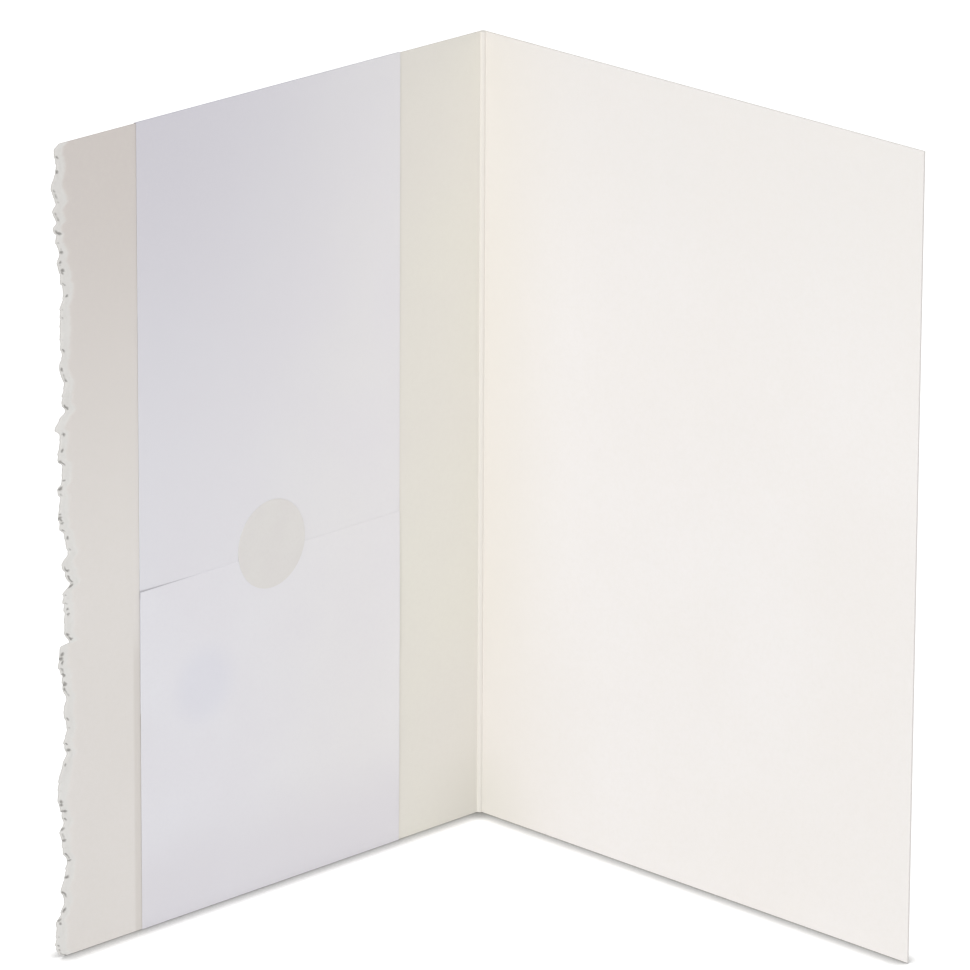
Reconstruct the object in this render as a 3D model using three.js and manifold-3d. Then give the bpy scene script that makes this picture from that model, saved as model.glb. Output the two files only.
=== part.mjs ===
// A wedding card standing open: one folded sheet with a torn front edge, a paper band wrapped
// round the front panel, and a round seal over the band's seam. Millimetres, +Z up.
import * as THREE from 'three';
import { mergeVertices } from 'three/addons/utils/BufferGeometryUtils.js';
import Module from 'manifold-3d';

// Card: two panels of one sheet, opened at the fold
const panelHeight = 177.8;
const panelWidth = 127;
const stockThickness = 0.4;
const openingAngle = 90;

// Fold: rounded outside, with the raised bead of its score inside
const foldOuterRadius = 0.75;
const scoreBeadRadius = 0.85;

// Torn edge: how deep the tear runs into the front panel, at even steps from bottom to top
const tearDepths = [1.0, 3.0, 3.1, 2.1, 3.7, 4.0, 2.8, 4.1, 4.7, 2.9, 3.0, 4.0, 3.8, 4.1, 3.0, 2.0, 2.8];
const tearStep = 2;
const longScallop = { length: 7.6, height: 0.42 };
const shortScallop = { length: 4.3, height: 0.26 };
const bareMargin = 3;
const bareMarginWave = { length: 13, height: 0.5 };
const skinThickness = 0.12;

// Band: thin paper, its lower end lapped over its upper end on the inside of the front panel
const bandFromFold = 25;
const bandWidth = 76.4;
const bandThickness = 0.15;
const bandClearance = 0.3;
const seamHeight = 75.6;
const endsOverlap = 27;
const lapGap = 0.15;
const lapRise = 6;
const lapLead = 2;

// Seal: a paper disc that holds the lower end down
const sealRadius = 9.8;
const sealThickness = 0.15;
const sealAboveSeam = 1.7;
const sealClearance = 0.3;

// How far a cutter reaches past what it cuts
const cutterMargin = 5;

const cardStock = new THREE.MeshStandardMaterial({ color: 0xebe9df, roughness: 0.86, metalness: 0 });
const bandPaper = new THREE.MeshStandardMaterial({ color: 0xe9e9ec, roughness: 0.8, metalness: 0 });
const sealPaper = new THREE.MeshStandardMaterial({ color: 0xe6e6e1, roughness: 0.72, metalness: 0 });

const wasm = await Module();
wasm.setup();

// The inner faces meet at x = 0, y = 0 of this frame, and the card opens towards -Y
const halfOpening = THREE.MathUtils.degToRad(openingAngle / 2);
const cardFoot = bandThickness;

function toSolid(geometry) {
  const bare = geometry.clone();
  bare.deleteAttribute('normal');
  bare.deleteAttribute('uv');
  const merged = mergeVertices(bare, 1e-4);
  return new wasm.Manifold(new wasm.Mesh({
    numProp: 3,
    vertProperties: new Float32Array(merged.attributes.position.array),
    triVerts: new Uint32Array(merged.index.array),
  }));
}

function toGeometry(solid) {
  const mesh = solid.getMesh();
  const geometry = new THREE.BufferGeometry();
  geometry.setAttribute('position', new THREE.BufferAttribute(mesh.vertProperties, 3));
  geometry.setIndex(new THREE.BufferAttribute(mesh.triVerts, 1));
  geometry.computeVertexNormals();
  return geometry;
}

function wave(shape, height, turns) {
  return shape.height * Math.sin(2 * Math.PI * (height / shape.length + turns));
}

// Front panel frame: +X from the fold to the torn edge, +Y out of the inner face, +Z up
const frontPanel = new THREE.Group();
frontPanel.rotation.z = -Math.PI / 2 - halfOpening;
frontPanel.updateMatrix();

// Plan of the folded sheet, drawn from the front panel round the bead to the back panel
function foldedPlan() {
  const sin = Math.sin(halfOpening);
  const cos = Math.cos(halfOpening);
  const outerCentre = (foldOuterRadius - stockThickness) / sin;
  const edgeX = panelWidth * sin;
  const edgeY = -panelWidth * cos;
  const opening = 1.5 * Math.PI;

  const plan = new THREE.Shape();
  plan.moveTo(-edgeX - stockThickness * cos, edgeY + stockThickness * sin);
  plan.lineTo(-edgeX, edgeY);
  plan.absarc(0, 0, scoreBeadRadius, opening - halfOpening, opening + halfOpening, false);
  plan.lineTo(edgeX, edgeY);
  plan.lineTo(edgeX + stockThickness * cos, edgeY + stockThickness * sin);
  plan.absarc(0, -outerCentre, foldOuterRadius, halfOpening, Math.PI - halfOpening, false);
  plan.closePath();
  return plan;
}

// Distance from the fold to the torn edge at a height above the panel's bottom
const tearCurve = new THREE.SplineCurve(
  tearDepths.map((depth, i) => new THREE.Vector2(i / (tearDepths.length - 1), depth)),
);

function tornReach(height) {
  const share = THREE.MathUtils.clamp(height / panelHeight, 0, 1);
  const scallops = wave(longScallop, height, 0.1) + wave(shortScallop, height, 0.6);
  return panelWidth - tearCurve.getPoint(share).y + scallops;
}

function skinReach(height) {
  return tornReach(height) - bareMargin - wave(bareMarginWave, height, 0.3);
}

// A cutter that takes away the front panel past a line, from a depth below its inner face
function edgeCutter(reach, depth) {
  const outline = new THREE.Shape();
  const steps = Math.round(panelHeight / tearStep);
  outline.moveTo(panelWidth + cutterMargin, -cutterMargin);
  outline.lineTo(panelWidth + cutterMargin, panelHeight + cutterMargin);
  outline.lineTo(reach(panelHeight), panelHeight + cutterMargin);
  for (let i = steps; i >= 0; i -= 1) {
    const height = (i * panelHeight) / steps;
    outline.lineTo(reach(height), height);
  }
  outline.lineTo(reach(0), -cutterMargin);
  outline.closePath();
  const cutter = new THREE.ExtrudeGeometry(outline, { depth: depth + cutterMargin, bevelEnabled: false });
  cutter.rotateX(Math.PI / 2);
  cutter.translate(0, cutterMargin, 0);
  cutter.applyMatrix4(frontPanel.matrix);
  return toSolid(cutter);
}

function makeCardSheet() {
  const plan = foldedPlan();
  const sheet = new THREE.ExtrudeGeometry(plan, { depth: panelHeight, bevelEnabled: false, curveSegments: 6 });
  const torn = toSolid(sheet)
    .subtract(edgeCutter(tornReach, stockThickness + cutterMargin))
    .subtract(edgeCutter(skinReach, skinThickness));
  const mesh = new THREE.Mesh(toGeometry(torn), cardStock);
  mesh.name = 'card_sheet';
  mesh.position.z = cardFoot;
  return mesh;
}

// Outline of a strip of paper of even thickness along its middle line
function stripOutline(middle, thickness) {
  const last = middle.length - 1;
  const heading = (from, to) => to.clone().sub(from).normalize();
  const near = [];
  const far = [];
  middle.forEach((point, i) => {
    const arriving = heading(middle[Math.max(i - 1, 0)], middle[Math.max(i, 1)]);
    const leaving = heading(middle[Math.min(i, last - 1)], middle[Math.min(i + 1, last)]);
    const along = arriving.add(leaving).normalize();
    const reach = thickness / 2 / along.dot(leaving);
    const across = new THREE.Vector2(-along.y, along.x).multiplyScalar(reach);
    near.push(point.clone().sub(across));
    far.unshift(point.clone().add(across));
  });
  return new THREE.Shape([...near, ...far]);
}

// The band's middle line in the plane across the front panel: x out of the inner face, y up
function bandMiddleLine() {
  const half = bandThickness / 2;
  const turn = bandClearance + half;
  const cardTop = cardFoot + panelHeight;
  const seam = cardFoot + seamHeight;
  const upperEnd = seam - endsOverlap;
  const lowerTurn = cardFoot + bandClearance;
  const path = new THREE.Path();
  path.moveTo(turn, upperEnd);
  path.lineTo(turn, cardTop);
  path.absarc(0, cardTop, turn, 0, Math.PI / 2, false);
  path.absarc(-stockThickness, cardTop, turn, Math.PI / 2, Math.PI, false);
  path.absarc(-stockThickness, lowerTurn, turn, Math.PI, 1.5 * Math.PI, false);
  path.absarc(0, lowerTurn, turn, 1.5 * Math.PI, 2 * Math.PI, false);
  path.lineTo(turn, upperEnd - lapLead - lapRise);
  path.lineTo(turn + bandThickness + lapGap, upperEnd - lapLead);
  path.lineTo(turn + bandThickness + lapGap, seam);
  return path.getPoints(4);
}

function makePaperBand() {
  const outline = stripOutline(bandMiddleLine(), bandThickness);
  const band = new THREE.ExtrudeGeometry(outline, { depth: bandWidth, bevelEnabled: false });
  band.rotateX(Math.PI / 2);
  band.rotateZ(Math.PI / 2);
  const mesh = new THREE.Mesh(band, bandPaper);
  mesh.name = 'paper_band';
  mesh.position.x = bandFromFold;
  return mesh;
}

function makeRoundSeal() {
  const lapFace = bandClearance + 2 * bandThickness + lapGap;
  const disc = new THREE.CylinderGeometry(sealRadius, sealRadius, sealThickness, 72);
  const mesh = new THREE.Mesh(disc, sealPaper);
  mesh.name = 'round_seal';
  mesh.position.set(
    bandFromFold + bandWidth / 2,
    lapFace + sealClearance + sealThickness / 2,
    cardFoot + seamHeight + sealAboveSeam,
  );
  return mesh;
}

const openCard = new THREE.Group();
openCard.add(makeCardSheet(), frontPanel);
frontPanel.add(makePaperBand(), makeRoundSeal());

// The origin is on the surface that the card stands on, below the middle of its box
const middle = new THREE.Box3().setFromObject(openCard, true).getCenter(new THREE.Vector3());
openCard.position.set(-middle.x, -middle.y, 0);

const weddingCard = new THREE.Group();
weddingCard.add(openCard);

export default weddingCard;
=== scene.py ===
import math
import random

import bmesh
import bpy
from mathutils import Matrix, Vector, noise


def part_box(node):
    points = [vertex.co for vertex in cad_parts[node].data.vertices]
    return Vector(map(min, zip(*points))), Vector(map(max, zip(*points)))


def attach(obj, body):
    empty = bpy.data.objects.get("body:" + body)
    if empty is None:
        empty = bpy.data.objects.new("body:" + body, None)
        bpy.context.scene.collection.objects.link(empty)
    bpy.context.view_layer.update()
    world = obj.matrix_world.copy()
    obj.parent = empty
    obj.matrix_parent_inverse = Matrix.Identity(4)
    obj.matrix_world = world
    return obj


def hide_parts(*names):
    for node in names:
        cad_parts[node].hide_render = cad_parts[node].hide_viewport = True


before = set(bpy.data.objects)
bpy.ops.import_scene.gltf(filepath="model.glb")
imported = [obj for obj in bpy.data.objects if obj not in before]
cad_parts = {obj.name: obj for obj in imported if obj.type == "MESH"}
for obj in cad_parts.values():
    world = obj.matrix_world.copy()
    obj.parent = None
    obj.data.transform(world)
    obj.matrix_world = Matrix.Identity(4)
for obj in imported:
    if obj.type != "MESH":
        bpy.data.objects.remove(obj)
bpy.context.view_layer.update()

mm = 0.001  # every length is in metres
tiny = 0.001 * mm  # slack for picking points by their place
rightAngle = math.pi / 2
halfOpening = math.radians(45)  # each panel stands this far from the card's middle plane
panelWidth = 127 * mm
stock = 0.4 * mm
bandFarEdge = 101.4 * mm  # the band's edge nearest the tear, from the fold

# the inner faces meet at the fold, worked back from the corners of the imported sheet
sheetLow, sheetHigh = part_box("card_sheet")
panelHeight = sheetHigh.z - sheetLow.z
foldPlace = Vector((
    sheetHigh.x - (panelWidth + stock) * math.sin(halfOpening),
    sheetLow.y + panelWidth * math.cos(halfOpening),
    sheetLow.z,
))


# working tools for every piece

def holdOnly(piece):
    bpy.ops.object.select_all(action="DESELECT")
    piece.select_set(True)
    bpy.context.view_layer.objects.active = piece


def startEdit(piece):
    holdOnly(piece)
    bpy.ops.object.mode_set(mode="EDIT")


def endEdit():
    bpy.ops.object.mode_set(mode="OBJECT")


def pick(piece, kind, test):
    # picks points or edges by their place, in edit mode
    bpy.ops.mesh.select_mode(type=kind)
    bpy.ops.mesh.select_all(action="DESELECT")
    mesh = bmesh.from_edit_mesh(piece.data)
    for item in {"VERT": mesh.verts, "EDGE": mesh.edges}[kind]:
        if test(item):
            item.select_set(True)
    mesh.select_flush_mode()
    bmesh.update_edit_mesh(piece.data)


def runsAlong(edge, axis):
    nearlyAll = 0.99
    way = edge.verts[1].co - edge.verts[0].co
    return abs(way[axis]) > nearlyAll * way.length


def turnAboutFold(angle):
    # with no window this turns the other way round
    bpy.ops.transform.rotate(value=-angle, orient_axis="Z", center_override=(0, 0, 0))


def putOnFrontPanel(piece):
    # from flat, fold at x = 0 and inner face towards -Y, to where the front panel stands
    startEdit(piece)
    bpy.ops.mesh.select_all(action="SELECT")
    turnAboutFold(rightAngle - halfOpening)
    bpy.ops.transform.translate(value=foldPlace)
    endEdit()


def thicken(piece, thickness):
    # gives a surface the paper's thickness, half to each side
    paper = piece.modifiers.new("paperThickness", "SOLIDIFY")
    paper.thickness = thickness
    paper.offset = 0
    holdOnly(piece)
    bpy.ops.object.modifier_apply(modifier=paper.name)


def smoothFaces(piece, angle):
    holdOnly(piece)
    bpy.ops.object.shade_smooth_by_angle(angle=angle)


def ease(low, high, value):
    # 0 below the low value, 1 above the high one, and a smooth rise between
    share = min(max((value - low) / (high - low), 0), 1)
    return share * share * (3 - 2 * share)


# working tools for every finish

def shade(red, green, blue):
    # a colour as a picture gives it, 0 to 255, for a shader's socket
    full = 255
    knee = 0.04045
    slope = 12.92
    offset = 0.055
    power = 2.4

    def straight(level):
        level = level / full
        return level / slope if level < knee else ((level + offset) / (1 + offset)) ** power

    return (straight(red), straight(green), straight(blue), 1)


def newFinish(name):
    finish = bpy.data.materials.new(name)
    finish.use_nodes = True
    tree = finish.node_tree
    return finish, tree, tree.nodes["Principled BSDF"]


def addNode(tree, kind, **settings):
    # nodes are laid out in the order they are made
    nodesInRow = 8
    columnWidth = 220
    rowHeight = 300
    count = len(tree.nodes)
    node = tree.nodes.new(kind)
    node.location = (count % nodesInRow * columnWidth, -(count // nodesInRow) * rowHeight)
    for name, value in settings.items():
        setattr(node, name, value)
    return node


def calculate(tree, operation, first, second, clamp=False):
    # each value is a node's output or a plain number
    made = addNode(tree, "ShaderNodeMath", operation=operation, use_clamp=clamp)
    for socket, value in zip(made.inputs, (first, second)):
        if isinstance(value, (int, float)):
            socket.default_value = value
        else:
            tree.links.new(value, socket)
    return made.outputs[0]


def pointValue(tree, name):
    return addNode(tree, "ShaderNodeAttribute", attribute_name=name).outputs["Fac"]


def objectPlace(tree):
    return addNode(tree, "ShaderNodeTexCoord").outputs["Object"]


def panelPlace(tree, place):
    # x from the fold towards the torn edge, y out of the front panel's inner face, z up
    turned = addNode(tree, "ShaderNodeMapping", vector_type="TEXTURE")
    turned.inputs["Location"].default_value = foldPlace
    turned.inputs["Rotation"].default_value = (0, 0, -rightAngle - halfOpening)
    tree.links.new(place, turned.inputs["Vector"])
    return turned.outputs["Vector"]


def distanceFrom(tree, place, point):
    made = addNode(tree, "ShaderNodeVectorMath", operation="DISTANCE")
    made.inputs[1].default_value = point
    tree.links.new(place, made.inputs[0])
    return made.outputs["Value"]


def grain(tree, place, look):
    # noise whose lumps are about this size in metres
    made = addNode(tree, "ShaderNodeTexNoise")
    made.inputs["Scale"].default_value = 1 / look["size"]
    made.inputs["Detail"].default_value = look["detail"]
    made.inputs["Roughness"].default_value = look["roughness"]
    tree.links.new(place, made.inputs["Vector"])
    return made.outputs["Fac"]


def remap(tree, value, span, result=(0, 1)):
    made = addNode(tree, "ShaderNodeMapRange", interpolation_type="SMOOTHSTEP")
    made.inputs["From Min"].default_value = span[0]
    made.inputs["From Max"].default_value = span[1]
    made.inputs["To Min"].default_value = result[0]
    made.inputs["To Max"].default_value = result[1]
    tree.links.new(value, made.inputs["Value"])
    return made.outputs["Result"]


def blendColour(tree, amount, under, over):
    # each colour is a node's output or a plain value
    made = addNode(tree, "ShaderNodeMix", data_type="RGBA")
    tree.links.new(amount, made.inputs["Factor"])
    for name, colour in (("A", under), ("B", over)):
        socket = [s for s in made.inputs if s.name == name and s.type == "RGBA"][0]
        if isinstance(colour, tuple):
            socket.default_value = colour
        else:
            tree.links.new(colour, socket)
    return [s for s in made.outputs if s.type == "RGBA"][0]


def mottle(tree, place, under, look):
    # lets a second tone through where the noise is high
    amount = remap(tree, grain(tree, place, look), look["span"], (0, look["most"]))
    return blendColour(tree, amount, under, look["colour"])


def paintedCornerShade(tree, along, under, over):
    # painted shade: the front panel is a little darker towards its top and its free edge
    acrossSpan = (0, 100 * mm)
    upSpan = (75 * mm, 185 * mm)
    outwards = remap(tree, along.outputs["X"], acrossSpan)
    upwards = remap(tree, along.outputs["Z"], upSpan)
    return blendColour(tree, calculate(tree, "MULTIPLY", outwards, upwards), under, over)


def finishSurface(tree, shader, place, colour, look):
    tree.links.new(colour, shader.inputs["Base Color"])
    shader.inputs["Roughness"].default_value = look["surfaceRoughness"]
    shader.inputs["Specular IOR Level"].default_value = look["shine"]
    made = addNode(tree, "ShaderNodeBump")
    made.inputs["Strength"].default_value = look["bumpStrength"]
    made.inputs["Distance"].default_value = look["bumpDepth"]
    tree.links.new(grain(tree, place, look["bump"]), made.inputs["Height"])
    tree.links.new(made.outputs["Normal"], shader.inputs["Normal"])


# camera

shot = {
    "azimuth": math.radians(-0.23),
    "elevation": math.radians(18.56),
    "roll": math.radians(0.283),
    "distance": 1.938,
    "lookAt": Vector((0.72, -40, 88.95)) * mm,  # from the foot of the fold
    "lens": 338.8,
    "filmWidth": 36,
}


def placeCamera():
    around = shot["azimuth"]
    up = shot["elevation"]
    back = Vector((math.sin(around) * math.cos(up), -math.cos(around) * math.cos(up), math.sin(up)))
    turned = back.to_track_quat("Z", "Y").to_matrix() @ Matrix.Rotation(shot["roll"], 3, "Z")
    bpy.ops.object.camera_add(
        location=foldPlace + shot["lookAt"] + back * shot["distance"],
        rotation=turned.to_euler(),
    )
    camera = bpy.context.object
    camera.name = "photoCamera"
    camera.data.lens = shot["lens"]
    camera.data.sensor_width = shot["filmWidth"]
    bpy.context.scene.camera = camera


placeCamera()
print("camera placed")


# studio: pale floor, even soft light and one large soft lamp from the front left

studio = {
    "floorSize": 14,
    "floorColour": shade(242, 242, 241),
    # painted contact shadow on the floor
    "contactShadowColour": shade(150, 149, 148),
    "white": (1, 1, 1, 1),
    "floorLift": 0.62,  # added for the camera, so the open floor is plain white
    "contactReach": 5 * mm,
    "contactDepth": 2.6,
    "contactSamples": 4,
    "skyStrength": 0.64,
    "lampSize": 1.5,
    "lampPower": 26.4,
    "lampDistance": 2.4,
    "lampAround": math.radians(-24),
    "lampUp": math.radians(15),
}


def seenDirectly(tree):
    # 1 for what the camera sees, straight on or in a gloss or through a clear thing
    path = addNode(tree, "ShaderNodeLightPath").outputs
    straight = calculate(tree, "ADD", path["Is Camera Ray"], path["Is Glossy Ray"], clamp=True)
    return calculate(tree, "ADD", straight, path["Is Transmission Ray"], clamp=True)


def floorFinish():
    # close to the card's foot the camera sees the floor darken, a painted contact shadow from ambient
    # occlusion; what lights the card stays even
    finish, tree, shader = newFinish("paleFloor")
    near = addNode(tree, "ShaderNodeAmbientOcclusion", samples=studio["contactSamples"])
    near.inputs["Distance"].default_value = studio["contactReach"]
    contact = calculate(tree, "POWER", near.outputs["AO"], studio["contactDepth"])
    seen = seenDirectly(tree)
    openFloor = calculate(tree, "MULTIPLY", seen, contact)
    strength = calculate(tree, "MULTIPLY", openFloor, studio["floorLift"])
    shader.inputs["Emission Color"].default_value = studio["white"]
    tree.links.new(strength, shader.inputs["Emission Strength"])

    darkness = calculate(tree, "SUBTRACT", seen, openFloor)
    colour = blendColour(tree, darkness, studio["floorColour"], studio["contactShadowColour"])
    tree.links.new(colour, shader.inputs["Base Color"])
    shader.inputs["Roughness"].default_value = 1
    shader.inputs["Specular IOR Level"].default_value = 0
    return finish


def layFloor():
    bpy.ops.object.select_all(action="DESELECT")
    bpy.ops.mesh.primitive_plane_add(size=studio["floorSize"], location=(0, 0, 0))
    floor = bpy.context.object
    floor.name = "floor"
    floor.data.materials.append(floorFinish())


def lightStudio():
    world = bpy.data.worlds.new("evenSky")
    bpy.context.scene.world = world
    world.use_nodes = True
    tree = world.node_tree
    sky = tree.nodes["Background"]
    sky.inputs["Color"].default_value = studio["white"]
    # white for the camera, and dimmer where it lights the card
    added = calculate(tree, "MULTIPLY", seenDirectly(tree), 1 - studio["skyStrength"])
    strength = calculate(tree, "ADD", added, studio["skyStrength"])
    tree.links.new(strength, sky.inputs["Strength"])

    around = studio["lampAround"]
    up = studio["lampUp"]
    towards = Vector((math.sin(around) * math.cos(up), -math.cos(around) * math.cos(up), math.sin(up)))
    bpy.ops.object.light_add(
        type="AREA",
        location=towards * studio["lampDistance"] + Vector((0, 0, panelHeight / 2)),
        rotation=towards.to_track_quat("Z", "Y").to_euler(),
    )
    lamp = bpy.context.object
    lamp.name = "softLamp"
    lamp.data.shape = "SQUARE"
    lamp.data.size = studio["lampSize"]
    lamp.data.energy = studio["lampPower"]


layFloor()
lightStudio()
bpy.context.scene.view_settings.view_transform = "Standard"
print("floor and light set")


# folded card: one sheet, torn at its free front edge

sheet = {
    "foldRadius": 0.75 * mm,
    "beadRadius": 0.85 * mm,  # raised line of the score, inside the fold
    "beadProfile": 0.086,  # swings the bevel's arc round the corner itself
    "arcSteps": 8,
    "plainColumns": (30, 70, 105),
    "fineFrom": 115 * mm,  # fine columns from here to the torn edge
    "fineCuts": 27,
    "fineBias": 1.5,  # and closer together towards that edge
    "rowCuts": (6, 99),  # one after the other, which gives 700 rows
    "bareMargin": 3 * mm,
    "marginWave": 0.35,
    "marginWaveSize": 9 * mm,
    "skin": 0.08 * mm,  # pressed face that is gone along the tear
    "skinFade": 1.2 * mm,
    "skinEnd": 0.4 * mm,
    "pile": 0.035 * mm,  # rough core under the skin
    "pileSize": 0.7 * mm,
    "lip": 0.8 * mm,  # the sheet thins to its edge over this width
    "lipThickness": 0.1 * mm,
    "lipFrontShare": 0.3,  # of that thinning, and the rest is on the outer face
    "leastPaper": 0.08 * mm,
    "fibre": 0.13 * mm,
    "fibreSize": 0.9 * mm,
    "fineFibre": 0.7,
    "fineFibreSize": 0.35 * mm,
    "toothSpacing": 2.3 * mm,
    "toothDrift": 1.1,
    "toothDriftSize": 7 * mm,
    "toothUnderside": 0.22,
    "toothHeight": 0.55 * mm,
    "toothEven": 0.6,
    "toothUneven": 0.8,
    "toothUnevenSize": 5 * mm,
    "toothMiddle": 0.35,  # keeps the outline where it was on the whole
    "curl": 0.22 * mm,
    "curlSize": 5 * mm,
    "creaseIn": 0.7 * mm,  # crease behind each hanging lip: a shallow groove with painted shadow
    "creaseWidth": 0.34 * mm,
    "creaseDepth": 0.07 * mm,
    "creaseEdge": 0.35,
    "creaseBreak": 1.6 * mm,
    "breakSpan": (-0.35, 0.1),
    "leanStep": 0.3 * mm,
    "leanSpan": (0.2, 0.55),
    # painted shade along the torn rim, this wide and this strong
    "rim": 0.35 * mm,
    "rimShade": 0.3,
    "nickCount": 46,
    "nickHeight": (0.02, 0.99),  # shares of the panel's height
    "nickInwards": (0.4, 1.2),  # this and the next two in mm
    "nickTall": (0.3, 0.6),
    "nickLong": (0.35, 0.85),
    "nickEdge": 0.4,
    "seed": 7,
    # painted warm bounce light by the fold
    "frontFoldBounce": shade(238, 236, 227),
    "frontFar": shade(238, 234, 231),
    "frontSpan": (18 * mm, 110 * mm),
    "back": shade(238, 235, 233),
    # painted shade, darker towards the back panel's top
    "backTopShade": shade(233, 230, 227),
    "backTopSpan": (110 * mm, 180 * mm),
    # painted shade with warm bounce light, darker and warmer by the fold
    "backFoldShade": shade(231, 226, 218),
    "backFoldSpan": (1 * mm, 30 * mm),
    "backFoldMost": 0.7,
    "turnSpan": (0.2 * mm, 1.2 * mm),  # from one panel's tone to the other's
    "core": shade(235, 235, 233),
    "coreMost": 0.72,
    # painted shade towards the front panel's top and free edge
    "corner": shade(220, 213, 209),
    # painted shade on the score's bead
    "bead": shade(229, 225, 219),
    "beadSpan": (1 * mm, 0.8 * mm),
    "beside": shade(224, 219, 214),
    "besideSpan": (bandFarEdge + 2.2 * mm, bandFarEdge + 1.4 * mm),
    "besideStart": (bandFarEdge - 2 * mm, bandFarEdge - 1 * mm),
    "besideUp": (70 * mm, 58 * mm),
    "besideMost": 0.75,
    # painted shade low in the corner of the fold
    "foldFootShade": shade(228, 225, 218),
    "foldFootSpan": (3 * mm, 22 * mm),
    "foldFootMost": 0.7,
    # painted shadow in the creases, the nicks and along the torn rim
    "crease": shade(160, 158, 155),
    "clouds": {
        "size": 45 * mm,
        "detail": 3,
        "roughness": 0.5,
        "span": (0.3, 0.7),
        "most": 0.5,
        "colour": shade(235, 231, 227),
    },
    "fibres": {
        "size": 1.1 * mm,
        "detail": 6,
        "roughness": 0.7,
        "span": (0.35, 0.75),
        "most": 0.22,
        "colour": shade(230, 226, 219),
    },
    "bump": {"size": 0.6 * mm, "detail": 8, "roughness": 0.65},
    "bumpStrength": 0.35,
    "bumpDepth": 0.05 * mm,
    "smoothUnder": math.radians(30),
    "surfaceRoughness": 0.86,
    "shine": 0.25,
}

# which line of the noise each use of it along the tear reads
noiseLines = {
    "fibre": 1,
    "fineFibreInside": 2,
    "fineFibreOutside": 5,
    "margin": 5,
    "curl": 7,
    "crease": 9,
    "toothPlace": 11,
    "toothSize": 13,
}

# the torn edge from the foot up: height, and how deep the tear runs into the panel, in mm
tornOutline = [
    (0, 2.9), (1, 1.6), (2.3, 1.0), (7.9, 1.1), (9.8, 2.5), (12.2, 3.5),
    (14.7, 2.6), (18.4, 3.9), (21.2, 4.3), (23.1, 3.1), (25.7, 3.0), (27.7, 2.4),
    (29.6, 3.5), (32, 2.9), (34.9, 2.0), (40, 2.3), (43, 3.3), (45, 4.5),
    (47.3, 3.9), (50.4, 4.7), (54.4, 3.8), (57.1, 4.6), (59.6, 3.6), (62.2, 3.7),
    (64.7, 2.5), (69, 2.8), (69.4, 5.7), (71.5, 4.3), (73.7, 4.2), (76.5, 4.5),
    (80.4, 4.0), (82.1, 5.8), (84.6, 4.6), (87, 3.6), (88.8, 5.4), (93.2, 4.6),
    (94.7, 3.3), (98.1, 3.0), (101.3, 3.5), (103.6, 2.7), (104.4, 3.9), (108.1, 4.1),
    (110.1, 2.9), (114.9, 3.6), (116.7, 2.4), (118.6, 3.5), (120, 5.1), (122.3, 4.2),
    (125.9, 4.9), (128.9, 3.8), (130.4, 3.7), (132.4, 4.5), (133.6, 4.0), (142.2, 4.0),
    (145.2, 5.0), (149.7, 4.1), (152.3, 3.2), (154.6, 4.0), (156.7, 3.2), (158.3, 3.2),
    (160.1, 2.3), (161.2, 3.2), (163.4, 2.1), (165.3, 3.1), (168.3, 2.0), (173.3, 3.3),
    (176.6, 2.7), (177.8, 4.0),
]


def roughness(height, size, line):
    # even noise along the tear, about this size from lump to lump
    return noise.noise(Vector((height / size, noiseLines[line], 0)))


def tornDepth(height):
    for (lowHeight, lowDepth), (highHeight, highDepth) in zip(tornOutline, tornOutline[1:]):
        if height <= highHeight * mm:
            share = ease(lowHeight * mm, highHeight * mm, height)
            return (lowDepth + (highDepth - lowDepth) * share) * mm
    return tornOutline[-1][1] * mm


def tearDepth(height):
    # small teeth on the torn outline, each fullest at its underside
    drift = sheet["toothDrift"] * roughness(height, sheet["toothDriftSize"], "toothPlace")
    share = (height / sheet["toothSpacing"] + drift) % 1
    uneven = sheet["toothUneven"] * roughness(height, sheet["toothUnevenSize"], "toothSize")
    tooth = (1 - share) * ease(0, sheet["toothUnderside"], share) * (sheet["toothEven"] + uneven)
    return tornDepth(height) + sheet["toothHeight"] * (sheet["toothMiddle"] - tooth)


def chooseNicks():
    # short nicks here and there behind the lips, shallow grooves painted dark as shadow
    draw = random.Random(sheet["seed"])
    nicks = []
    for _ in range(sheet["nickCount"]):
        nicks.append({
            "height": draw.uniform(*sheet["nickHeight"]) * panelHeight,
            "inwards": draw.uniform(*sheet["nickInwards"]) * mm,
            "tall": draw.uniform(*sheet["nickTall"]) * mm,
            "long": draw.uniform(*sheet["nickLong"]) * mm,
        })
    return nicks


def creaseAt(height, gap, nicks):
    # 1 in the middle of a crease: along each stretch that overhangs, and at each nick
    step = sheet["leanStep"]
    lean = (tearDepth(height - step) - tearDepth(height + step)) / (2 * step)
    broken = ease(*sheet["breakSpan"], roughness(height, sheet["creaseBreak"], "crease"))
    offLine = abs(gap - sheet["creaseIn"]) / sheet["creaseWidth"]
    found = ease(*sheet["leanSpan"], lean) * broken * (1 - ease(sheet["creaseEdge"], 1, offLine))
    for nick in nicks:
        up = (height - nick["height"]) / nick["tall"]
        along = (gap - nick["inwards"]) / nick["long"]
        if abs(up) < 1 and abs(along) < 1:
            found = max(found, 1 - ease(sheet["nickEdge"], 1, math.hypot(up, along)))
    return found


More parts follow.
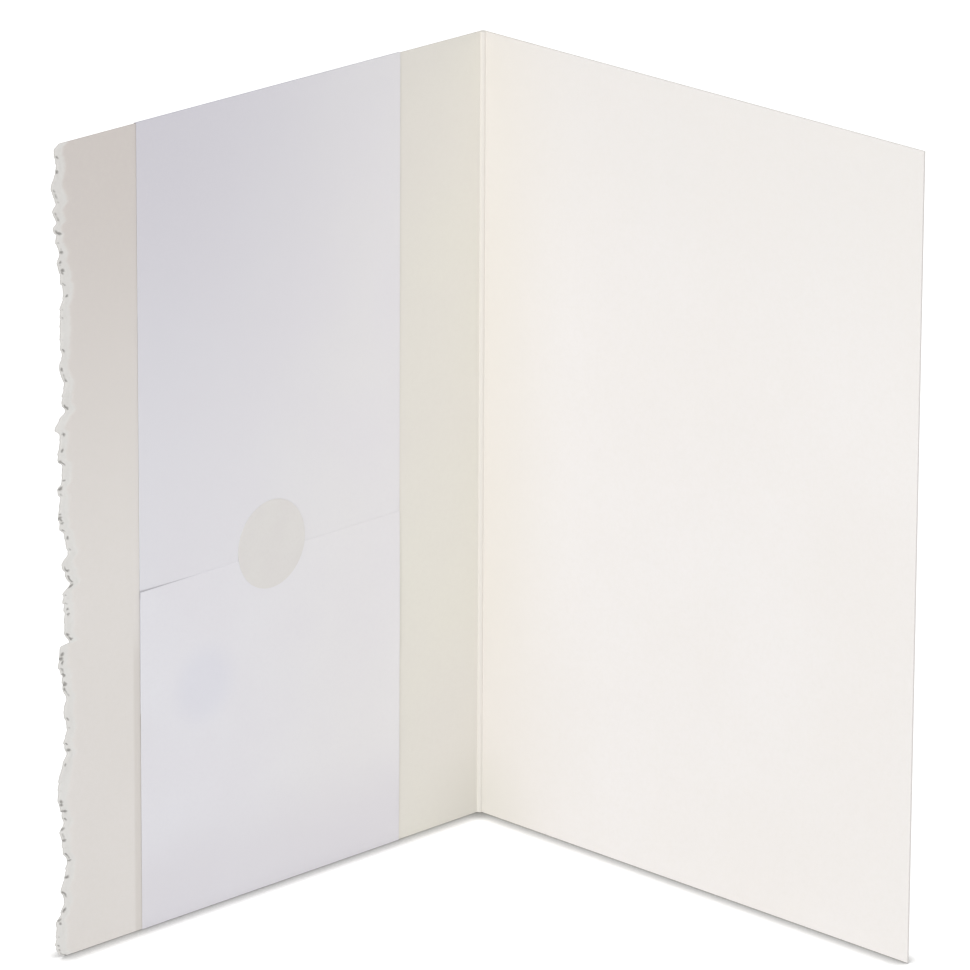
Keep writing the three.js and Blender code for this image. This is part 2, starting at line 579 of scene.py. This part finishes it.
def flatSheet():
    bpy.ops.object.select_all(action="DESELECT")
    bpy.ops.mesh.primitive_cube_add(
        size=1,
        location=(0, stock / 2, panelHeight / 2),
        scale=(2 * panelWidth, stock, panelHeight),
    )
    piece = bpy.context.object
    piece.name = "folded_card"
    bpy.ops.object.transform_apply(location=True, rotation=True, scale=True)
    startEdit(piece)
    columns = [0, -sheet["fineFrom"]]
    for place in sheet["plainColumns"]:
        columns += [place * mm, -place * mm]
    for column in columns:
        bpy.ops.mesh.select_all(action="SELECT")
        bpy.ops.mesh.bisect(plane_co=(column, 0, 0), plane_no=(1, 0, 0))
    edgeSide = -sheet["fineFrom"] + tiny
    pick(piece, "EDGE", lambda e: runsAlong(e, 0) and max(v.co.x for v in e.verts) < edgeSide)
    bpy.ops.mesh.subdivide(number_cuts=sheet["fineCuts"])
    for cuts in sheet["rowCuts"]:
        pick(piece, "EDGE", lambda e: runsAlong(e, 2))
        bpy.ops.mesh.subdivide(number_cuts=cuts)
    endEdit()
    return piece


def tearEdge(piece):
    nicks = chooseNicks()
    mesh = piece.data
    for name in ("tearCore", "tearShadow"):
        mesh.attributes.new(name, "FLOAT", "POINT")
    core = mesh.attributes["tearCore"].data
    crease = mesh.attributes["tearShadow"].data
    fine = sheet["fineFrom"]
    thinning = stock - sheet["skin"] - sheet["lipThickness"]
    for point in mesh.vertices:
        if point.co.x > -fine + tiny:
            continue
        height = point.co.z
        inside = point.co.y < stock / 2
        side = "fineFibreInside" if inside else "fineFibreOutside"
        fibres = roughness(height, sheet["fibreSize"], "fibre")
        fibres += sheet["fineFibre"] * roughness(height, sheet["fineFibreSize"], side)
        reach = panelWidth - tearDepth(height) + fibres * sheet["fibre"]
        share = min((-point.co.x - fine) / (panelWidth - fine), 1)
        spread = 1 - (1 - share) ** sheet["fineBias"]
        along = fine + (reach - fine) * spread
        gap = reach - along
        wave = sheet["marginWave"] * roughness(height, sheet["marginWaveSize"], "margin")
        bare = sheet["bareMargin"] * (1 + wave)
        curl = sheet["curl"] * roughness(height, sheet["curlSize"], "curl") * (1 - ease(0, bare, gap))
        thin = 1 - ease(0, sheet["lip"], gap)
        if inside:
            isCore = 1 - ease(bare - sheet["skinFade"], bare + sheet["skinEnd"], gap)
            pile = noise.noise(Vector((along, height, 0)) / sheet["pileSize"])
            groove = creaseAt(height, gap, nicks)
            depth = isCore * (sheet["skin"] + sheet["pile"] * pile)
            depth += thin * sheet["lipFrontShare"] * thinning
            out = min(depth + groove * sheet["creaseDepth"], stock - sheet["leastPaper"])
            core[point.index].value = isCore
            crease[point.index].value = max(groove, sheet["rimShade"] * (1 - ease(0, sheet["rim"], gap)))
        else:
            core[point.index].value = thin
            out = stock - thin * (1 - sheet["lipFrontShare"]) * thinning
        point.co.x = -along
        point.co.y = out - curl
    mesh.update()


def foldSheet(piece):
    startEdit(piece)
    pick(piece, "VERT", lambda v: v.co.x < -tiny)
    turnAboutFold(rightAngle - halfOpening)
    pick(piece, "VERT", lambda v: v.co.x > tiny)
    turnAboutFold(halfOpening - rightAngle)
    pick(piece, "VERT", lambda v: abs(v.co.x) < tiny and v.co.y > stock / 2)
    bpy.ops.transform.translate(value=(0, stock / math.sin(halfOpening) - stock, 0))

    def onFold(edge):
        return all(abs(v.co.x) < tiny for v in edge.verts) and runsAlong(edge, 2)

    pick(piece, "EDGE", lambda e: onFold(e) and e.verts[0].co.y > stock / 2)
    bpy.ops.mesh.bevel(
        offset=sheet["foldRadius"] / math.tan(halfOpening),
        segments=sheet["arcSteps"],
        affect="EDGES",
    )
    pick(piece, "EDGE", lambda e: onFold(e) and abs(e.verts[0].co.y) < tiny)
    bpy.ops.mesh.bevel(
        offset=sheet["beadRadius"],
        segments=sheet["arcSteps"],
        profile=sheet["beadProfile"],
        affect="EDGES",
    )
    bpy.ops.mesh.select_all(action="SELECT")
    bpy.ops.transform.translate(value=foldPlace)
    endEdit()


def cardStockFinish():
    finish, tree, shader = newFinish("warmCardStock")
    place = objectPlace(tree)
    onPanel = panelPlace(tree, place)
    along = addNode(tree, "ShaderNodeSeparateXYZ")
    tree.links.new(onPanel, along.inputs[0])

    # painted warm bounce light: creamier by the fold, greyer towards the torn edge
    outwards = remap(tree, along.outputs["X"], sheet["frontSpan"])
    front = blendColour(tree, outwards, sheet["frontFoldBounce"], sheet["frontFar"])

    # on the back panel x is zero, and y runs from the fold to its free edge
    # painted shade: the back panel is darker towards its top
    upwards = remap(tree, along.outputs["Z"], sheet["backTopSpan"])
    topShaded = blendColour(tree, upwards, sheet["back"], sheet["backTopShade"])
    # painted shade with warm bounce light: darker and warmer by the fold
    nearFold = remap(tree, along.outputs["Y"], sheet["backFoldSpan"], (sheet["backFoldMost"], 0))
    back = blendColour(tree, nearFold, topShaded, sheet["backFoldShade"])
    pastFold = remap(tree, along.outputs["X"], sheet["turnSpan"])
    base = blendColour(tree, pastFold, back, front)

    clouded = mottle(tree, place, base, sheet["clouds"])
    toned = paintedCornerShade(tree, along, clouded, sheet["corner"])
    bareAmount = remap(tree, pointValue(tree, "tearCore"), (0, 1), (0, sheet["coreMost"]))
    bare = blendColour(tree, bareAmount, toned, sheet["core"])
    flecked = mottle(tree, place, bare, sheet["fibres"])

    # painted shade: the score's bead takes a softer, darker tone than the panels
    flattened = addNode(tree, "ShaderNodeVectorMath", operation="MULTIPLY")
    flattened.inputs[1].default_value = (1, 1, 0)
    tree.links.new(onPanel, flattened.inputs[0])
    fromAxis = distanceFrom(tree, flattened.outputs[0], (0, 0, 0))
    onBead = remap(tree, fromAxis, sheet["beadSpan"])
    beaded = blendColour(tree, onBead, flecked, sheet["bead"])

    # soft shade beside the lower part of the band
    beside = remap(tree, along.outputs["X"], sheet["besideSpan"])
    pastBand = remap(tree, along.outputs["X"], sheet["besideStart"])
    lowPart = remap(tree, along.outputs["Z"], sheet["besideUp"], (0, sheet["besideMost"]))
    strip = calculate(tree, "MULTIPLY", beside, pastBand)
    sided = blendColour(tree, calculate(tree, "MULTIPLY", strip, lowPart), beaded, sheet["beside"])

    # painted shade: a little darker low in the corner of the fold
    fromFoot = distanceFrom(tree, onPanel, (0, 0, 0))
    nearFoot = remap(tree, fromFoot, sheet["foldFootSpan"], (sheet["foldFootMost"], 0))
    footed = blendColour(tree, nearFoot, sided, sheet["foldFootShade"])
    # painted shadow in the creases and nicks and along the torn rim
    creaseShaded = blendColour(tree, pointValue(tree, "tearShadow"), footed, sheet["crease"])
    finishSurface(tree, shader, place, creaseShaded, sheet)
    return finish


def makeFoldedCard():
    piece = flatSheet()
    tearEdge(piece)
    foldSheet(piece)
    smoothFaces(piece, sheet["smoothUnder"])
    piece.data.materials.append(cardStockFinish())
    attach(piece, "root")
    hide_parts("card_sheet")


makeFoldedCard()
print("card folded and torn")


# band: one strip of thin paper round the front panel, its lower end lapped over its upper end

band = {
    "fromFold": 25 * mm,
    "paper": 0.06 * mm,
    "clear": 0.13 * mm,  # middle of the paper to the card's faces
    "footClear": 0.08 * mm,  # middle of the paper to the card's lower edge
    "seam": 75.6 * mm,
    "overlap": 27 * mm,
    "lapRise": 0.08 * mm,  # the lower end climbs this far, over lapRun, before the upper end begins
    "lapRun": 6 * mm,
    "lapLead": 2 * mm,
    "step": 3 * mm,
    "turnSteps": 3,
    "columnCuts": 63,
    "cornerLift": 0.16 * mm,  # the lower end's free corner stands off
    "cornerAlong": 21 * mm,
    "cornerDown": 26 * mm,
    "cornerCurve": (1.6, 1.5),
    "sideLift": 0.04 * mm,  # and so does its edge down to the foot
    "sideAcross": 13 * mm,
    "sideRise": (0, 0.5),  # shares of the seam's height
    "foldSideLift": 0.1 * mm,
    "foldSideAcross": 6 * mm,
    "foldSideRise": (0.02, 0.3),
    "foldSideFall": (0.7, 0.97),
    "shadeAbove": 0.34 * mm,  # deep shade shows this far over the seam at the free corner
    "shadeSoft": 0.12 * mm,
    "shadeBelow": (2 * mm, 1 * mm),  # and fades in this far under it
    "shadeLift": (0.02, 0.2),  # shares of the corner's lift
    "shade": shade(206, 205, 211),
    "upperByFold": shade(238, 237, 239),
    "upperFar": shade(235, 235, 241),
    "lowerByFold": shade(239, 238, 240),
    "lowerFar": shade(240, 240, 246),
    "acrossSpan": (35 * mm, 95 * mm),
    # painted shade towards the band's top and free edge
    "corner": shade(220, 218, 226),
    # painted shade near the band's foot
    "foot": shade(230, 228, 234),
    "footSpan": (28 * mm, 6 * mm),
    "footMost": 0.7,
    "smudge": shade(222, 225, 240),
    "smudgePlace": (83 * mm, 0, 50.6 * mm),
    "smudgeSpan": (4 * mm, 11.5 * mm),
    "smudgeMost": 0.28,
    "clouds": {
        "size": 30 * mm,
        "detail": 2,
        "roughness": 0.5,
        "span": (0.35, 0.7),
        "most": 0.5,
        "colour": shade(235, 233, 239),
    },
    "fibres": {
        "size": 0.8 * mm,
        "detail": 5,
        "roughness": 0.6,
        "span": (0.4, 0.75),
        "most": 0.16,
        "colour": shade(230, 228, 235),
    },
    "bump": {"size": 0.5 * mm, "detail": 6, "roughness": 0.6},
    "bumpStrength": 0.2,
    "bumpDepth": 0.03 * mm,
    "smoothUnder": math.radians(40),
    "surfaceRoughness": 0.72,
    "shine": 0.3,
}
band["width"] = bandFarEdge - band["fromFold"]
band["upperEnd"] = band["seam"] - band["overlap"]


def bandPath():
    # middle of the paper, as how far out of the inner face and how high above the card's foot
    clear = band["clear"]
    lap = clear + band["lapRise"]
    low = clear - band["footClear"]
    path = []

    def straightTo(out, up, step):
        lastOut, lastUp = path[-1]
        pieces = max(1, round(math.hypot(out - lastOut, up - lastUp) / step))
        for i in range(1, pieces + 1):
            share = i / pieces
            path.append((lastOut + (out - lastOut) * share, lastUp + (up - lastUp) * share))

    def turnRound(out, up, start):
        for i in range(1, band["turnSteps"] + 1):
            angle = start + rightAngle * i / band["turnSteps"]
            path.append((out + clear * math.cos(angle), up + clear * math.sin(angle)))

    path.append((clear, band["upperEnd"]))
    straightTo(clear, panelHeight, band["step"])
    turnRound(0, panelHeight, 0)
    turnRound(-stock, panelHeight, rightAngle)
    straightTo(-stock - clear, low, 2 * band["step"])
    turnRound(-stock, low, 2 * rightAngle)
    turnRound(0, low, 3 * rightAngle)
    lapFrom = band["upperEnd"] - band["lapLead"]
    straightTo(clear, lapFrom - band["lapRun"], band["step"])
    straightTo(lap, lapFrom, band["step"] / 2)
    straightTo(lap, band["seam"], band["step"] / 2)
    return path


def lowerEndLift(along, up):
    # how far the lower end stands off at a place on it
    seam = band["seam"]
    fromEdge = bandFarEdge - along
    toFold = along - band["fromFold"]
    rise = min(max(up / seam, 0), 1)
    acrossCurve, downCurve = band["cornerCurve"]
    corner = max(0, 1 - fromEdge / band["cornerAlong"]) ** acrossCurve
    corner *= max(0, 1 - (seam - up) / band["cornerDown"]) ** downCurve
    side = max(0, 1 - fromEdge / band["sideAcross"]) ** 2 * ease(*band["sideRise"], rise)
    foldSide = max(0, 1 - toFold / band["foldSideAcross"]) ** 2
    foldSide *= ease(*band["foldSideRise"], rise) * (1 - ease(*band["foldSideFall"], rise))
    lift = band["sideLift"] * side + band["foldSideLift"] * foldSide
    return lift + (band["cornerLift"] - band["sideLift"]) * corner


def stripAlongPath():
    path = bandPath()
    first, second = path[0], path[1]
    middle = -(band["fromFold"] + bandFarEdge) / 2
    bpy.ops.object.select_all(action="DESELECT")
    bpy.ops.mesh.primitive_plane_add(
        size=1,
        location=(middle, -first[0], (first[1] + second[1]) / 2),
        rotation=(rightAngle, 0, 0),
    )
    piece = bpy.context.object
    piece.name = "paper_wrap"
    piece.scale = (band["width"], second[1] - first[1], 1)
    bpy.ops.object.transform_apply(location=True, rotation=True, scale=True)
    startEdit(piece)
    pick(piece, "EDGE", lambda e: all(v.co.z > second[1] - tiny for v in e.verts))
    for (lastOut, lastUp), (out, up) in zip(path[1:], path[2:]):
        bpy.ops.mesh.extrude_region_move(
            TRANSFORM_OT_translate={"value": (0, lastOut - out, up - lastUp)},
        )
    pick(piece, "EDGE", lambda e: runsAlong(e, 0))
    bpy.ops.mesh.subdivide(number_cuts=band["columnCuts"])
    endEdit()
    return piece


def liftLowerEnd(piece):
    # lifts the lower end, and marks it and how far it lifts off the upper end
    lapOut = band["clear"] + band["lapRise"] / 2
    mesh = piece.data
    for name in ("lowerEnd", "underLap"):
        mesh.attributes.new(name, "FLOAT", "POINT")
    lowerEnd = mesh.attributes["lowerEnd"].data
    underLap = mesh.attributes["underLap"].data
    for point in mesh.vertices:
        out = -point.co.y
        up = point.co.z
        onFront = out > band["clear"] - tiny
        if onFront and (out > lapOut or up < band["upperEnd"] - band["lapLead"]):
            point.co.y -= lowerEndLift(-point.co.x, up)
            lowerEnd[point.index].value = 1
        elif onFront:
            lift = lowerEndLift(-point.co.x, band["seam"])
            underLap[point.index].value = lift / band["cornerLift"]
    mesh.update()


def bandPaperFinish():
    finish, tree, shader = newFinish("coolBandPaper")
    place = objectPlace(tree)
    onPanel = panelPlace(tree, place)
    along = addNode(tree, "ShaderNodeSeparateXYZ")
    tree.links.new(onPanel, along.inputs[0])
    height = along.outputs["Z"]

    outwards = remap(tree, along.outputs["X"], band["acrossSpan"])
    upper = blendColour(tree, outwards, band["upperByFold"], band["upperFar"])
    lower = blendColour(tree, outwards, band["lowerByFold"], band["lowerFar"])
    onLowerEnd = pointValue(tree, "lowerEnd")
    base = blendColour(tree, onLowerEnd, upper, lower)
    clouded = mottle(tree, place, base, band["clouds"])
    toned = paintedCornerShade(tree, along, clouded, band["corner"])
    flecked = mottle(tree, place, toned, band["fibres"])

    # faint bluish smudge below the seam
    away = distanceFrom(tree, onPanel, band["smudgePlace"])
    faint = remap(tree, away, band["smudgeSpan"], (band["smudgeMost"], 0))
    smudged = blendColour(tree, calculate(tree, "MULTIPLY", faint, onLowerEnd), flecked, band["smudge"])
    # painted shade, darker towards the band's foot
    nearFoot = remap(tree, height, band["footSpan"], (0, band["footMost"]))
    footed = blendColour(tree, nearFoot, smudged, band["foot"])

    # the upper end is in shade along the seam, where the lower end's corner stands off it
    seam = band["seam"]
    soft = band["shadeSoft"]
    deepest, shallowest = band["shadeBelow"]
    lift = pointValue(tree, "underLap")
    lowered = calculate(tree, "SUBTRACT", height, calculate(tree, "MULTIPLY", lift, band["shadeAbove"]))
    underTop = remap(tree, lowered, (seam - soft, seam + soft), (1, 0))
    overFoot = remap(tree, height, (seam - deepest, seam - shallowest))
    strip = calculate(tree, "MULTIPLY", underTop, overFoot)
    shaded = calculate(tree, "MULTIPLY", strip, remap(tree, lift, band["shadeLift"]))
    gapped = blendColour(tree, shaded, footed, band["shade"])
    finishSurface(tree, shader, place, gapped, band)
    return finish


def makePaperWrap():
    piece = stripAlongPath()
    liftLowerEnd(piece)
    thicken(piece, band["paper"])
    putOnFrontPanel(piece)
    smoothFaces(piece, band["smoothUnder"])
    piece.data.materials.append(bandPaperFinish())
    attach(piece, "root")
    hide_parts("paper_band")


makePaperWrap()
print("band wrapped")


# seal: a thin paper disc stuck over the seam

seal = {
    "radius": 9.8 * mm,
    "paper": 0.06 * mm,
    "aboveSeam": 1.7 * mm,
    "points": 96,
    "span": 24,  # of the grid that fills the disc
    "off": 0.09 * mm,  # middle of the disc above the middle of the paper under it
    "drop": 1.1 * mm,  # it settles from the lapped end to the upper end over this height
    "colour": shade(233, 231, 229),
    "clouds": {
        "size": 6 * mm,
        "detail": 3,
        "roughness": 0.5,
        "span": (0.35, 0.7),
        "most": 0.6,
        "colour": shade(231, 228, 227),
    },
    "fibres": {
        "size": 0.7 * mm,
        "detail": 6,
        "roughness": 0.65,
        "span": (0.4, 0.75),
        "most": 0.16,
        "colour": shade(220, 217, 213),
    },
    "bump": {"size": 0.5 * mm, "detail": 6, "roughness": 0.6},
    "bumpStrength": 0.3,
    "bumpDepth": 0.04 * mm,
    "smoothUnder": math.radians(40),
    "surfaceRoughness": 0.8,
    "shine": 0.25,
}


def sealPaperFinish():
    finish, tree, shader = newFinish("mattSealPaper")
    place = objectPlace(tree)
    clouded = mottle(tree, place, seal["colour"], seal["clouds"])
    flecked = mottle(tree, place, clouded, seal["fibres"])
    finishSurface(tree, shader, place, flecked, seal)
    return finish


def makeSealDisc():
    middle = (-band["fromFold"] - band["width"] / 2, 0, band["seam"] + seal["aboveSeam"])
    bpy.ops.object.select_all(action="DESELECT")
    bpy.ops.mesh.primitive_circle_add(
        vertices=seal["points"],
        radius=seal["radius"],
        location=middle,
        rotation=(rightAngle, 0, 0),
    )
    piece = bpy.context.object
    piece.name = "seal_disc"
    bpy.ops.object.transform_apply(location=True, rotation=True, scale=True)
    startEdit(piece)
    bpy.ops.mesh.select_all(action="SELECT")
    bpy.ops.mesh.fill_grid(span=seal["span"])
    endEdit()
    for point in piece.data.vertices:
        onLap = 1 - ease(band["seam"], band["seam"] + seal["drop"], point.co.z)
        under = band["clear"] + band["lapRise"] * onLap
        point.co.y = -(under + seal["off"])
    thicken(piece, seal["paper"])
    putOnFrontPanel(piece)
    smoothFaces(piece, seal["smoothUnder"])
    piece.data.materials.append(sealPaperFinish())
    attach(piece, "root")
    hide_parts("round_seal")


makeSealDisc()
print("seal stuck on")
